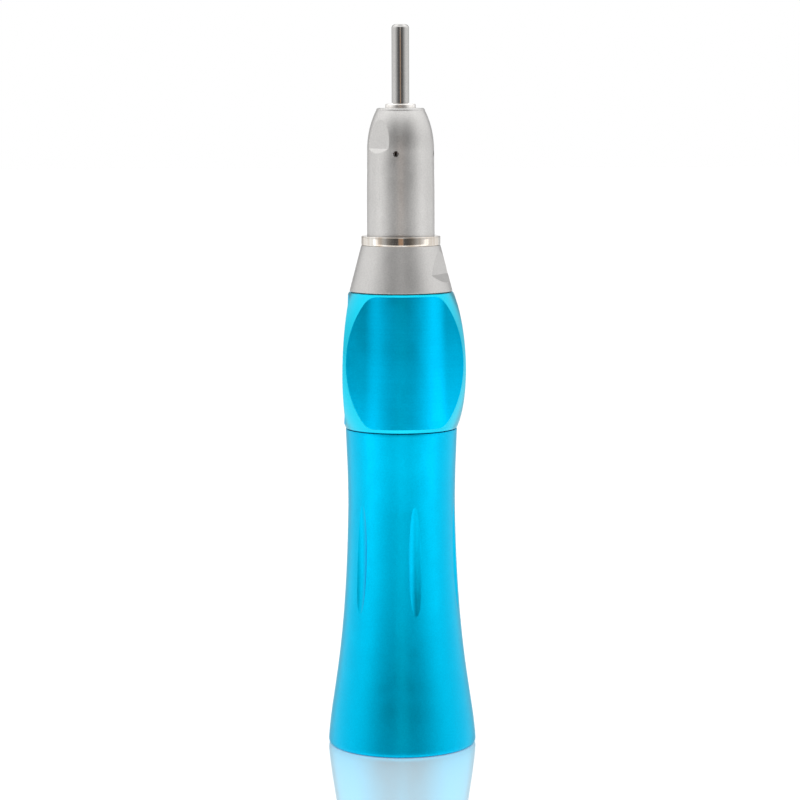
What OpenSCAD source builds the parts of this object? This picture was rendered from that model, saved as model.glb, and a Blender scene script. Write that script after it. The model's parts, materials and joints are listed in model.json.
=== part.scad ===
// Straight nose-cone dental handpiece with a twist-ring chuck and a rear motor socket.
// Origin: centre of the rear rim.  +Z runs along the spindle to the bur.
// Azimuths are measured about +Z from +X.

/* [Grip sleeve] */
// Height of the grip sleeve
sleeve_h = 43.5; // [43:0.1:43.5]
// Largest radius, just above the rear rim
rim_r = 10.09; // [9.8:0.01:10.3]
// Radius at the waist
waist_r = 7.28; // [7.2:0.01:7.6]
// Height of the waist
waist_z = 33; // [31:0.5:35]
// Radius at the top of the sleeve
sleeve_top_r = 7.58; // [7.4:0.01:7.6]
// Radius of the mouth that the motor's front enters
mouth_r = 8.0; // [7.8:0.05:8.3]
// Depth of the mouth
mouth_depth = 5.0; // [4:0.1:5]
// Number of finger grooves
groove_count = 6; // [3:1:8]
// Azimuth of the first finger groove
groove_azimuth = -76; // [-90:1:-46]

/* [Motor socket] */
// Radius of the bore that fits over the motor's nose
socket_r = 5.75; // [5.5:0.05:5.8]
// Height of the shoulder that stops the motor's nose
socket_end_z = 20; // [19.5:0.1:20]

/* [Twist ring] */
// Bottom of the twist ring
ring_z = 43.6; // [43.55:0.01:43.7]
// Height of the twist ring
ring_h = 18.5; // [18.3:0.05:18.5]
// Radius at the bulge
bulge_r = 9.39; // [9.2:0.01:9.5]
// Height of the bulge
bulge_z = 52.3; // [51.5:0.1:53]
// Radius of the arc that draws the bulge
bulge_arc_r = 21.5; // [21:0.1:23]
// Radius of the shallow core at the middle of a finger facet
facet_core_r = 7.48; // [7.3:0.01:7.6]
// Distance from the axis to a facet's side wing
wing_distance = 6.83; // [6.6:0.01:6.9]
// Angle from the ridge to the wing's outward normal
wing_angle = 45.8; // [44:0.1:48]
// Azimuth of the first ridge
ridge_azimuth = -24.5; // [-30:0.5:0]
// How far the ring turns to open the chuck
ring_turn = 45; // [30:1:45]
// How far the chuck opens
chuck_lift = 0.8; // [0.5:0.05:0.8]

/* [Nose] */
// Radius of the collar's wide end
collar_wide_r = 6.97; // [6.8:0.01:7.0]
// Radius of the collar's narrow end and of the lock ring
collar_narrow_r = 5.35; // [5.2:0.01:5.4]
// Bottom of the taper collar
collar_z = 62.2; // [62.15:0.01:62.25]
// Bottom of the lock ring
lock_ring_z = 68.4; // [68.3:0.05:68.5]
// Top of the lock ring
lock_ring_top_z = 69.65; // [69.5:0.05:69.8]
// Radius of the nose sheath's straight part
nose_r = 4.56; // [4.5:0.01:4.6]
// Top face of the nose sheath
nose_top_z = 86.8; // [86.7:0.05:86.9]
// Radius of the vent holes
vent_r = 0.39; // [0.3:0.01:0.45]

/* [Spindle and bur] */
// Outer radius of the spindle
spindle_r = 2.0; // [2:0.01:2]
// Radius of the bur's shank
shank_r = 1.175; // [1.175:0.005:1.175]
// Length of the dummy bur
bur_len = 44.5; // [40:0.5:44.5]
// Top of the dummy bur
bur_top_z = 97.95; // [97:0.05:98]
// How far the drive dog gives way
dog_travel = 1.5; // [1:0.1:1.5]

/* [Bearings] */
// Outer radius of a bearing
bearing_r = 3.5; // [3.5:0.1:3.5]
// Width of a bearing
bearing_w = 2.0; // [2:0.1:2]
// Radius of a ball
ball_r = 0.5; // [0.45:0.01:0.5]
// Number of balls in a bearing
ball_count = 8; // [6:1:8]

/* [Hidden] */
$fn = 96;
slip = 0.01;
run = 0.05;
over = 1;

sleeve_lower_bore_r = 6.71;
sleeve_upper_bore_r = 6.24;
liner_r = 6.70;
liner_flange_r = 7.55;
liner_flange_h = 1.2;
liner_top_z = 24;
lead_in = 0.4;
latch_z = 17;
latch_w = 1.2;
latch_r = socket_r + 0.3;
groove_mid_z = 26.25;
groove_half_len = 7.35;
groove_wheel_r = 60;
groove_wheel_z = 28.9;
groove_floor_r = 7.09;
groove_edge_r = 1.2;

frame_low_r = 6.2;
frame_ring_r = 5.2;
frame_collar_r = 5.0;
frame_bore_r = 4.42;
frame_tail_bore_r = 3.1;
frame_top_z = 67.5;
bearing_seat_r = bearing_r + slip;
rear_bearing_z = 36;
middle_bearing_z = 77;
front_bearing_z = 82;
bearing_z = [rear_bearing_z, middle_bearing_z, front_bearing_z];
rear_nut_z = 38.4;
frame_bore_z = 41;
sleeve_seal_z = 39.45;
sleeve_seal_r = 5.94;
sleeve_seal_wire_r = 0.28;
ring_seal_z = 60;
ring_seal_r = 5.02;
ring_seal_wire_r = 0.21;
seal_room = 0.1;

ring_top_z = ring_z + ring_h;
ring_bore_r = frame_ring_r + run;
ridge_count = 3;
facet_core_slope = 0.0337;
wing_arc_r = 314;
wing_arc_z = 44.15;
wing_bow = 0.12;
ridge_reach = 12;
pin_r = 0.9;
pin_slot_r = 0.95;
pin_z = 50;
pin_in_r = 3.58;
pin_out_r = 6.6;
ring_slot_r = 6.8;
ring_slot_top_z = 52.2;
slot_steps = 9;
stop_azimuth = 58;
stop_pin_r = 0.35;
stop_circle_r = 5.75;
stop_slot_depth = 0.9;
stop_slot_margin = 4.5;
stop_slot_r = 6.15;
stop_seat_z = 41.52;

slider_z = 44.5;
slider_h = 8;
slider_r = 4.38;
slider_bore_r = 3.5;
slider_flange_h = 2.4;
slider_flange_bore_r = 2.3;

notch_azimuth = -22;
notch_outline = [[5.61, 64.54], [5.56, 68.4], [9, 68.4], [9, 61.05]];
nose_flat_azimuth = -135.3;
nose_flat_outline = [[4.10, 81.4], [3.70, 86.6], [8, 86.6], [8, 75.2]];

spigot_r = 4.40;
spigot_z = 62.5;
nose_bore_r = bearing_seat_r;
nose_hole_r = 2.3;
nose_face_r = 3.28;
nose_edge_z = 86.45;
nose_curve_z = 80.8;
nose_taper_z = 74.4;
front_nut_z = 74.4;
front_nut_h = 1.6;
rear_nut_h = 2;
nut_slot_h = 0.6;
washer_z = 76.4;
bearing_stop_z = front_bearing_z + bearing_w + 0.02;
seal_recess_r = 3.0;
seal_recess_top_z = 85;
vent_z = 80.7;
vent_azimuth = -97.9;
vent_count = 4;

spindle_bore_r = 1.56;
spindle_tail_z = 25.5;
spindle_bore_z = 45.5;
spindle_top_z = 87.35;
spindle_nose_r = 2.05;
spindle_shoulder_r = 2.2;
seat_z = 85;
seat_top_r = 1.85;
collet_r = 1.525;
collet_z = 46;
collet_top_z = 87.25;
collet_top_r = 1.80;
collet_slit = 0.3;
collet_slit_z = 74;
bur_z = bur_top_z - bur_len;
bur_tip_r = 0.55;
bur_mark_z = 86.85;
bur_mark_h = 0.6;
bur_mark_r = 1.0;
cross_reach = 5;
cross_pin_r = 0.5;
cross_pin_z = 48;
thrust_collar_r = 3.4;
thrust_collar_z = 47;
thrust_collar_h = 2;
nut_z = 58;
nut_h = 2;
nut_r = 3.1;
spacer_r = 2.4;

dog_z = 20.5;
dog_top_z = 31;
dog_r = 2.9;
dog_web_z = 22.5;
dog_web_h = 1.2;
dog_pin_r = 0.4;
dog_pin_z = 28.5;
dog_mouth_r = 1.6;
dog_fork_w = 2;

pitch_r = (spindle_r + bearing_r) / 2;
race_gap = 0.33;
ball_track_r = ball_r + 0.06;

// A cubic curve from a to d, pulled towards b and c, as points [r, z].
function bezier(a, b, c, d, steps) = [
    for (i = [0 : steps])
        let (t = i / steps, s = 1 - t)
            s * s * s * a + 3 * s * s * t * b + 3 * s * t * t * c + t * t * t * d
];

// Points of a ring around the axis of a coil, for a wire of radius w.
function coil_ring(angle, r, z, w, sides) = [
    for (k = [0 : sides - 1])
        let (q = 360 * k / sides, rr = r + w * cos(q))
            [rr * cos(angle), rr * sin(angle), z + w * sin(q)]
];

module tube(r_out, r_in, z, h) {
    translate([0, 0, z])
        difference() {
            cylinder(r = r_out, h = h);
            translate([0, 0, -over])
                cylinder(r = r_in, h = h + 2 * over);
        }
}

module around(count, first) {
    for (i = [0 : count - 1])
        rotate([0, 0, first + 360 * i / count])
            children();
}

// A cylinder that points outward along +X from radius r0 to r1.
module radial_pin(r, r0, r1, z) {
    translate([r0, 0, z])
        rotate([0, 90, 0])
            cylinder(r = r, h = r1 - r0);
}

// A bore right across the axis.
module cross_bore(r, z) {
    radial_pin(r, -cross_reach, cross_reach, z);
}

module coil(r, w, z0, z1, turns, steps, sides) {
    n = turns * steps;
    rise = z1 - z0 - 2 * w;
    points = [
        for (i = [0 : n])
            each coil_ring(360 * i / steps, r, z0 + w + rise * i / n, w, sides)
    ];
    skin = [
        for (i = [0 : n - 1], k = [0 : sides - 1])
            [
                i * sides + k,
                (i + 1) * sides + k,
                (i + 1) * sides + (k + 1) % sides,
                i * sides + (k + 1) % sides
            ]
    ];
    ends = [
        [for (k = [0 : sides - 1]) k],
        [for (k = [0 : sides - 1]) n * sides + sides - 1 - k]
    ];
    polyhedron(points = points, faces = concat(skin, ends), convexity = 10);
}

// ---- Grip sleeve and motor socket ----

module sleeve_outline() {
    lower = bezier([rim_r, 0.6], [9.74, 6.85], [7.6, 12.46], [waist_r, waist_z], 20);
    top_edge = [sleeve_top_r - 0.02, sleeve_h - 0.15];
    upper = bezier([waist_r, waist_z], [waist_r, 37.9], [7.44, 39.9], top_edge, 8);
    rim = [for (i = [0 : 4]) [rim_r - 0.35 * (1 - sin(22.5 * i)), 0.6 * (1 - cos(22.5 * i))]];
    polygon(concat(
        [[0, 0]],
        rim,
        [for (i = [1 : 20]) lower[i]],
        [for (i = [1 : 8]) upper[i]],
        [[sleeve_top_r - 0.15, sleeve_h], [0, sleeve_h]]
    ));
}

// One finger groove, as a large wheel with a rounded edge would cut it.
module finger_groove_cutter() {
    translate([groove_floor_r + groove_wheel_r, 0, groove_wheel_z])
        rotate([90, 0, 0])
            rotate_extrude($fn = 720)
                translate([groove_wheel_r - groove_edge_r, 0])
                    circle(r = groove_edge_r);
}

module grip_sleeve() {
    color("deepskyblue")
        difference() {
            rotate_extrude()
                sleeve_outline();
            translate([0, 0, -over])
                cylinder(r = mouth_r, h = mouth_depth + over);
            translate([0, 0, -slip])
                cylinder(r1 = mouth_r + lead_in, r2 = mouth_r, h = lead_in);
            translate([0, 0, mouth_depth - slip])
                cylinder(r = liner_flange_r + run, h = liner_flange_h + run);
            translate([0, 0, mouth_depth])
                cylinder(r = sleeve_lower_bore_r, h = liner_top_z - mouth_depth);
            translate([0, 0, mouth_depth])
                cylinder(r = sleeve_upper_bore_r, h = sleeve_h);
            intersection() {
                around(groove_count, groove_azimuth)
                    finger_groove_cutter();
                translate([0, 0, groove_mid_z - groove_half_len - over])
                    cylinder(r = rim_r, h = 2 * (groove_half_len + over));
            }
        }
}

module coupling_socket() {
    color("silver")
        difference() {
            union() {
                translate([0, 0, mouth_depth])
                    cylinder(r = liner_flange_r, h = liner_flange_h);
                translate([0, 0, mouth_depth])
                    cylinder(r = liner_r, h = liner_top_z - mouth_depth - slip);
            }
            translate([0, 0, mouth_depth - over])
                cylinder(r = socket_r, h = socket_end_z - mouth_depth + over);
            translate([0, 0, mouth_depth - slip])
                cylinder(r1 = socket_r + lead_in, r2 = socket_r, h = lead_in);
            translate([0, 0, latch_z])
                cylinder(r = latch_r, h = latch_w);
            cylinder(r = 4, h = sleeve_h);
        }
}

// ---- Inner barrel, the fixed spine between the sleeve and the nose ----

// Helical slots: a drive pin's path while the ring turns and the slider rises.
module drive_slots() {
    for (i = [0 : slot_steps])
        around(ridge_count, ridge_azimuth + ring_turn * i / slot_steps)
            radial_pin(pin_slot_r, pin_in_r, pin_out_r, pin_z + chuck_lift * i / slot_steps);
}

// A groove in a barrel of radius r_out, with a little room around its rubber ring.
module seal_groove(r_out, r, z, wire_r) {
    half = wire_r + seal_room;
    tube(r_out + 0.3, r - wire_r - 0.01, z - half, 2 * half);
}

module inner_barrel() {
    color("lightsteelblue")
        difference() {
            union() {
                translate([0, 0, liner_top_z])
                    cylinder(r = frame_low_r, h = sleeve_h - liner_top_z);
                translate([0, 0, liner_top_z])
                    cylinder(r = frame_ring_r, h = ring_top_z + run - liner_top_z);
                translate([0, 0, liner_top_z])
                    cylinder(r = frame_collar_r, h = frame_top_z - liner_top_z);
            }
            cylinder(r = frame_tail_bore_r, h = frame_top_z);
            translate([0, 0, rear_bearing_z - slip])
                cylinder(r = bearing_seat_r, h = frame_top_z);
            translate([0, 0, frame_bore_z])
                cylinder(r = frame_bore_r, h = frame_top_z);
            seal_groove(frame_low_r, sleeve_seal_r, sleeve_seal_z, sleeve_seal_wire_r);
            seal_groove(frame_ring_r, ring_seal_r, ring_seal_z, ring_seal_wire_r);
            drive_slots();
            rotate([0, 0, stop_azimuth])
                translate([stop_circle_r, 0, stop_seat_z - slip])
                    cylinder(r = stop_pin_r + slip, h = sleeve_h);
        }
}

module sleeve_o_ring() {
    color("dimgray")
        translate([0, 0, sleeve_seal_z])
            rotate_extrude()
                translate([sleeve_seal_r, 0])
                    circle(r = sleeve_seal_wire_r, $fn = 32);
}

module ring_o_ring() {
    color("dimgray")
        translate([0, 0, ring_seal_z])
            rotate_extrude()
                translate([ring_seal_r, 0])
                    circle(r = ring_seal_wire_r, $fn = 32);
}

module stop_pin() {
    color("silver")
        rotate([0, 0, stop_azimuth])
            translate([stop_circle_r, 0, stop_seat_z])
                cylinder(r = stop_pin_r, h = ring_z + stop_slot_depth - 0.2 - stop_seat_z);
}

// ---- Twist ring ----

// The bulged barrel that the facets are cut from.
module ring_barrel() {
    rotate_extrude($fn = 180)
        intersection() {
            translate([bulge_r - bulge_arc_r, bulge_z])
                circle(r = bulge_arc_r, $fn = 720);
            translate([0, ring_z])
                square([bulge_r + over, ring_h]);
        }
}

// A ridge between two facets: where the barrel stands inside both wings.
module ring_ridge() {
    intersection() {
        wing_space(1);
        wing_space(-1);
        translate([0, 0, ring_z - over])
            linear_extrude(height = ring_h + 2 * over)
                polygon([[0, 0], [ridge_reach, -ridge_reach / 1.74], [ridge_reach, ridge_reach / 1.74]]);
    }
}

// The inside of one side wing of a facet, which is a very large cylinder.
module wing_space(side) {
    rotate([0, 0, side * wing_angle])
        translate([wing_distance + wing_bow - wing_arc_r, 0, wing_arc_z])
            rotate([90, 0, 0])
                cylinder(r = wing_arc_r, h = 60, center = true, $fn = 2880);
}

module twist_ring() {
    low_r = facet_core_r + facet_core_slope * (ring_h / 2 + over);
    high_r = facet_core_r - facet_core_slope * (ring_h / 2 + over);
    color("dodgerblue")
        difference() {
            intersection() {
                ring_barrel();
                union() {
                    translate([0, 0, ring_z - over])
                        cylinder(r1 = low_r, r2 = high_r, h = ring_h + 2 * over);
                    around(ridge_count, ridge_azimuth)
                        ring_ridge();
                }
            }
            translate([0, 0, ring_z - over])
                cylinder(r = ring_bore_r, h = ring_h + 2 * over);
            around(ridge_count, ridge_azimuth)
                translate([0, -pin_slot_r, ring_z - over])
                    cube([ring_slot_r, 2 * pin_slot_r, ring_slot_top_z - ring_z + over]);
            rotate([0, 0, stop_azimuth - ring_turn - stop_slot_margin])
                rotate_extrude(angle = ring_turn + 2 * stop_slot_margin)
                    translate([frame_collar_r, ring_z - over])
                        square([stop_slot_r - frame_collar_r, stop_slot_depth + over]);
        }
}

// ---- Chuck slider ----

module chuck_slider() {
    color("gainsboro")
        difference() {
            tube(slider_r, slider_flange_bore_r, slider_z, slider_h);
            translate([0, 0, slider_z + slider_flange_h])
                cylinder(r = slider_bore_r, h = slider_h);
            around(ridge_count, ridge_azimuth)
                radial_pin(pin_r + slip, slider_flange_bore_r, slider_r + over, pin_z);
        }
}

module drive_pins() {
    color("silver")
        around(ridge_count, ridge_azimuth)
            radial_pin(pin_r, pin_in_r, pin_out_r, pin_z);
}

// ---- Nose ----

// Takes a flat off the outside: an outline of [outward, z] points, as wide as given.
module flat_cutter(outline, width, azimuth) {
    rotate([0, 0, azimuth])
        translate([0, width / 2, 0])
            rotate([90, 0, 0])
                linear_extrude(height = width)
                    polygon(outline);
}

module taper_collar() {
    color("lightgray")
        difference() {
            translate([0, 0, collar_z])
                cylinder(r1 = collar_wide_r, r2 = collar_narrow_r, h = lock_ring_z - collar_z - slip);
            translate([0, 0, collar_z - over])
                cylinder(r = frame_collar_r + slip, h = frame_top_z - collar_z + over + slip);
            cylinder(r = spigot_r + slip, h = nose_top_z);
            flat_cutter(notch_outline, 10, notch_azimuth);
        }
}

module lock_ring() {
    edge = 0.1;
    color("gold")
        translate([0, 0, lock_ring_z])
            rotate_extrude()
                polygon([
                    [spigot_r + slip, 0], [collar_narrow_r, 0],
                    [collar_narrow_r, lock_ring_top_z - lock_ring_z - edge],
                    [collar_narrow_r - edge, lock_ring_top_z - lock_ring_z],
                    [spigot_r + slip, lock_ring_top_z - lock_ring_z]
                ]);
}

module nose_outline() {
    edge_r = nose_top_z - nose_edge_z;
    ogive = bezier([nose_face_r, nose_edge_z], [4.6, 83.88], [4.5, 81.36], [4.5, nose_curve_z], 14);
    polygon(concat(
        [[0, spigot_z], [spigot_r, spigot_z], [spigot_r, lock_ring_top_z]],
        [[nose_r, lock_ring_top_z], [nose_r, nose_taper_z]],
        [for (i = [14 : -1 : 0]) ogive[i]],
        [[nose_face_r - 0.1, nose_top_z - 0.1], [nose_face_r - edge_r, nose_top_z]],
        [[0, nose_top_z]]
    ));
}

module vents() {
    around(vent_count, vent_azimuth)
        radial_pin(vent_r, spacer_r + 0.2, nose_r + over, vent_z);
}

module nose_sheath() {
    color("silver")
        difference() {
            rotate_extrude()
                nose_outline();
            translate([0, 0, spigot_z - over])
                cylinder(r = nose_bore_r, h = bearing_stop_z - spigot_z + over);
            cylinder(r = seal_recess_r, h = seal_recess_top_z);
            cylinder(r = nose_hole_r, h = nose_top_z + over);
            flat_cutter(nose_flat_outline, 8, nose_flat_azimuth);
            vents();
        }
}

module nose_seal() {
    color("dimgray")
        tube(seal_recess_r - slip, spindle_shoulder_r + run, bearing_stop_z + 0.25, 0.7);
}

module outer_race_spacer() {
    z = middle_bearing_z + bearing_w + slip;
    color("silver")
        difference() {
            tube(bearing_r, bearing_r - 0.45, z, front_bearing_z - slip - z);
            vents();
        }
}

// A three-wave spring washer between the middle bearing and the front nut.
module preload_washer() {
    r_in = 2.95;
    r_out = 3.45;
    steps = 48;
    thick = 0.2;
    points = [
        for (i = [0 : steps - 1])
            let (q = 360 * i / steps, z = washer_z + 0.25 * sin(3 * q))
                each [
                    [r_in * cos(q), r_in * sin(q), z],
                    [r_out * cos(q), r_out * sin(q), z],
                    [r_out * cos(q), r_out * sin(q), z + thick],
                    [r_in * cos(q), r_in * sin(q), z + thick]
                ]
    ];
    faces = [
        for (i = [0 : steps - 1], k = [0 : 3])
            let (j = (i + 1) % steps)
                [4 * i + k, 4 * i + (k + 1) % 4, 4 * j + (k + 1) % 4, 4 * j + k]
    ];
    color("silver")
        polyhedron(points = points, faces = faces, convexity = 6);
}

// A ring nut with two wrench slots in one face.
module slotted_nut(r_in, z, h, slot_z) {
    difference() {
        tube(bearing_r, r_in, z, h);
        translate([-5, -0.4, slot_z])
            cube([10, 0.8, nut_slot_h]);
    }
}

module front_bearing_nut() {
    color("silver")
        slotted_nut(2.6, front_nut_z, front_nut_h, front_nut_z - slip);
}

module rear_bearing_nut() {
    color("silver")
        slotted_nut(2.8, rear_nut_z, rear_nut_h, rear_nut_z + rear_nut_h - nut_slot_h + slip);
}

// ---- Spindle ----

module spindle() {
    color("silver")
        difference() {
            union() {
                translate([0, 0, spindle_tail_z])
                    cylinder(r = spindle_r, h = spindle_top_z - 0.5 - spindle_tail_z);
                translate([0, 0, front_bearing_z + bearing_w + slip])
                    cylinder(r = spindle_shoulder_r, h = nose_top_z - 0.1 - front_bearing_z - bearing_w);
                translate([0, 0, nose_top_z - 0.2])
                    rotate_extrude()
                        spindle_nose_outline();
            }
            translate([0, 0, spindle_bore_z])
                cylinder(r = spindle_bore_r, h = spindle_top_z);
            translate([0, 0, seat_z])
                cylinder(r1 = spindle_bore_r, r2 = seat_top_r, h = spindle_top_z - seat_z);
            drawbar_slot();
            cross_bore(dog_pin_r + slip, dog_pin_z);
            tube(spindle_r + over, spindle_r - 0.2, rear_bearing_z + bearing_w + 0.04, 0.34);
        }
}

module spindle_nose_outline() {
    h = spindle_top_z - nose_top_z + 0.2;
    edge = 0.2;
    in_r = spindle_nose_r - edge;
    arc = [for (i = [0 : 4]) [in_r + edge * cos(22.5 * i), h - edge + edge * sin(22.5 * i)]];
    polygon(concat([[0, 0], [spindle_nose_r, 0]], arc, [[0, h]]));
}

// The long slot that lets the drawbar pin travel along the spindle.
module drawbar_slot() {
    w = cross_pin_r + run;
    for (z = [cross_pin_z, cross_pin_z + chuck_lift])
        cross_bore(w, z);
    translate([-cross_reach, -w, cross_pin_z])
        cube([2 * cross_reach, 2 * w, chuck_lift]);
}

module spindle_nut() {
    flat = 2.75;
    color("silver")
        difference() {
            tube(nut_r, spindle_r + slip, nut_z, nut_h);
            for (side = [0, 180])
                rotate([0, 0, side])
                    translate([flat, -5, nut_z + nut_h / 2])
                        cube([2, 10, nut_h]);
        }
}

module spindle_spacer() {
    z = nut_z + nut_h + slip;
    color("lightsteelblue")
        tube(spacer_r, spindle_r + slip, z, middle_bearing_z - slip - z);
}

module inner_race_spacer() {
    z = middle_bearing_z + bearing_w + slip;
    color("lightsteelblue")
        tube(spacer_r, spindle_r + slip, z, front_bearing_z - slip - z);
}

// An open ring in the spindle's groove behind the rear bearing.
module spindle_circlip() {
    color("dimgray")
        difference() {
            tube(2.5, spindle_r - 0.18, rear_bearing_z + bearing_w + 0.06, 0.3);
            translate([0, -0.9, rear_bearing_z + bearing_w - 0.5])
                cube([4, 1.8, 2]);
        }
}

module chuck_spring() {
    color("darkgray")
        coil(2.7, 0.3, thrust_collar_z + thrust_collar_h + 0.02, nut_z - 0.02, 6, 18, 8);
}

module thrust_collar() {
    color("silver")
        difference() {
            tube(thrust_collar_r, spindle_r + run, thrust_collar_z, thrust_collar_h);
            cross_bore(cross_pin_r + slip, cross_pin_z);
        }
}

module drawbar_pin() {
    color("silver")
        radial_pin(cross_pin_r, 0.1 - thrust_collar_r, thrust_collar_r - 0.1, cross_pin_z);
}

// ---- Collet and dummy bur ----

module collet() {
    color("silver")
        difference() {
            union() {
                translate([0, 0, collet_z])
                    cylinder(r = collet_r, h = seat_z - collet_z + slip);
                translate([0, 0, seat_z])
                    cylinder(r1 = collet_r, r2 = collet_top_r, h = collet_top_z - seat_z);
            }
            translate([0, 0, bur_z - run])
                cylinder(r = shank_r + 0.01, h = bur_len);
            around(3, 90)
                translate([0, -collet_slit / 2, collet_slit_z])
                    cube([4, collet_slit, 20]);
            cross_bore(cross_pin_r + slip, cross_pin_z);
        }
}

// A plain pin. Its depth groove stands at the chuck's mouth when the pin is fully in.
module dummy_bur() {
    in_r = shank_r - bur_tip_r;
    in_z = bur_len - bur_tip_r;
    tip = [for (i = [0 : 6]) [in_r + bur_tip_r * cos(15 * i), in_z + bur_tip_r * sin(15 * i)]];
    color("silver")
        difference() {
            translate([0, 0, bur_z])
                rotate_extrude()
                    polygon(concat([[0, 0], [shank_r - 0.2, 0], [shank_r, 0.2]], tip, [[0, bur_len]]));
            tube(shank_r + over, bur_mark_r, bur_mark_z, bur_mark_h);
        }
}

// ---- Rear drive ----

module drive_dog() {
    color("silver")
        difference() {
            translate([0, 0, dog_z])
                cylinder(r = dog_r, h = dog_top_z - dog_z);
            translate([0, 0, dog_z - over])
                cylinder(r = dog_mouth_r, h = dog_web_z - dog_z + over);
            translate([0, 0, dog_web_z + dog_web_h])
                cylinder(r = spindle_r + run, h = dog_top_z);
            translate([-cross_reach, -dog_fork_w / 2, dog_z - over])
                cube([2 * cross_reach, dog_fork_w, dog_web_z - dog_z + over]);
            dog_pin_slot();
        }
}

// Slot in the dog for its pin, long enough for the dog to slide up by its travel.
module dog_pin_slot() {
    w = dog_pin_r + run;
    for (z = [dog_pin_z - dog_travel, dog_pin_z])
        cross_bore(w, z);
    translate([-cross_reach, -w, dog_pin_z - dog_travel])
        cube([2 * cross_reach, 2 * w, dog_travel]);
}

module dog_pin() {
    color("silver")
        radial_pin(dog_pin_r, 0.05 - dog_r, dog_r - 0.05, dog_pin_z);
}

module dog_spring() {
    color("darkgray")
        coil(2.35, 0.2, dog_top_z + 0.02, rear_bearing_z - 0.02, 4, 16, 6);
}

// ---- Ball bearings ----

module ball_track(z) {
    translate([0, 0, z + bearing_w / 2])
        rotate_extrude()
            translate([pitch_r, 0])
                circle(r = ball_track_r, $fn = 48);
}

module outer_race(z) {
    color("silver")
        difference() {
            tube(bearing_r, pitch_r + race_gap, z, bearing_w);
            ball_track(z);
        }
}

module inner_race(z) {
    color("silver")
        difference() {
            tube(pitch_r - race_gap, spindle_r + slip, z, bearing_w);
            ball_track(z);
        }
}

module ball_cage(z) {
    color("goldenrod")
        difference() {
            tube(pitch_r + 0.14, pitch_r - 0.14, z + 0.3, bearing_w - 0.6);
            around(ball_count, 0)
                radial_pin(ball_r + run, pitch_r - 1, pitch_r + 1, z + bearing_w / 2);
        }
}

module balls(z) {
    color("white")
        around(ball_count, 0)
            translate([pitch_r, 0, z + bearing_w / 2])
                sphere(r = ball_r, $fn = 32);
}

grip_sleeve();
coupling_socket();
inner_barrel();
sleeve_o_ring();
ring_o_ring();
stop_pin();
twist_ring();
taper_collar();
lock_ring();
nose_sheath();
nose_seal();
outer_race_spacer();
preload_washer();
front_bearing_nut();
rear_bearing_nut();
chuck_slider();
drive_pins();
spindle();
spindle_nut();
spindle_spacer();
inner_race_spacer();
spindle_circlip();
chuck_spring();
thrust_collar();
drawbar_pin();
collet();
dummy_bur();
drive_dog();
dog_pin();
dog_spring();
outer_race(bearing_z[0]);  // rear_outer_race
inner_race(bearing_z[0]);  // rear_inner_race
ball_cage(bearing_z[0]);  // rear_ball_cage
balls(bearing_z[0]);  // rear_balls
outer_race(bearing_z[1]);  // middle_outer_race
inner_race(bearing_z[1]);  // middle_inner_race
ball_cage(bearing_z[1]);  // middle_ball_cage
balls(bearing_z[1]);  // middle_balls
outer_race(bearing_z[2]);  // front_outer_race
inner_race(bearing_z[2]);  // front_inner_race
ball_cage(bearing_z[2]);  // front_ball_cage
balls(bearing_z[2]);  // front_balls
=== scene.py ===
import json
import math

import bmesh
import bpy
import numpy as np
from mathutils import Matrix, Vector


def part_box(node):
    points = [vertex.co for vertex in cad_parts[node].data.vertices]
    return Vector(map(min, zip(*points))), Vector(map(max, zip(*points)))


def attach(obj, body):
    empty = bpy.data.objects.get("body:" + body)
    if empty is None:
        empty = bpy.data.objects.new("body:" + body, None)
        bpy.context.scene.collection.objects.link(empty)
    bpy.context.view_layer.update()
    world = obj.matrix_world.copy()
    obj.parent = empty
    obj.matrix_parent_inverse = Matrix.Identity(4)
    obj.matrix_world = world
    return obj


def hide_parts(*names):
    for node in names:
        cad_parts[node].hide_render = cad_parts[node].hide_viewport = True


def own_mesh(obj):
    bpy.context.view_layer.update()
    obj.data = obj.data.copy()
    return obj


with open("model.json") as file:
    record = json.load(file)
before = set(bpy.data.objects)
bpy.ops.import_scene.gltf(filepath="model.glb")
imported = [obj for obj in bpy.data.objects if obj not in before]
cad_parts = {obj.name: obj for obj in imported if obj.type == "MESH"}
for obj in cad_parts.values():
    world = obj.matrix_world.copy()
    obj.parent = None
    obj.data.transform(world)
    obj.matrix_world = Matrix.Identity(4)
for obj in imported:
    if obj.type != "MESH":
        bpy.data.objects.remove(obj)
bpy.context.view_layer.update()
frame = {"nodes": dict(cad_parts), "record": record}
MM = 0.001

# ---- Sizes, in millimetres ----

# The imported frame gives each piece's ends and radius.


def span(node):
    """Lowest z, highest z and largest radius of a CAD node, in millimetres."""
    low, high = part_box(node)
    return low.z / MM, high.z / MM, max(high.x, high.y) / MM


_, SLEEVE_TOP, RIM_R = span("grip_sleeve")
RING_LOW, RING_TOP, _ = span("twist_ring")
COLLAR_LOW, _, COLLAR_R = span("taper_collar")
LOCK_LOW, LOCK_TOP, LOCK_R = span("lock_ring")
SPIGOT_LOW, NOSE_TOP, NOSE_R = span("nose_sheath")
BUR_LOW, BUR_TOP, BUR_R = span("dummy_bur")
LINER_LOW, LINER_TOP, _ = span("coupling_socket")
RING_MID = (RING_LOW + RING_TOP) / 2
RING_HALF_H = (RING_TOP - RING_LOW) / 2

# Curves are cubic: the handles pull each curve between its two ends.
RIM_EDGE_R = 0.35
RIM_EDGE_H = 0.6
FLARE_HANDLES = ((9.74, 6.85), (7.6, 12.46))
WAIST_R = 7.28
WAIST_Z = 33.0
SHOULDER_HANDLES = ((WAIST_R, 37.9), (7.44, 39.9))
SLEEVE_TOP_R = 7.56
SLEEVE_EDGE = 0.08
MOUTH_R = 8.0
MOUTH_LEAD_IN = 0.5

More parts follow.
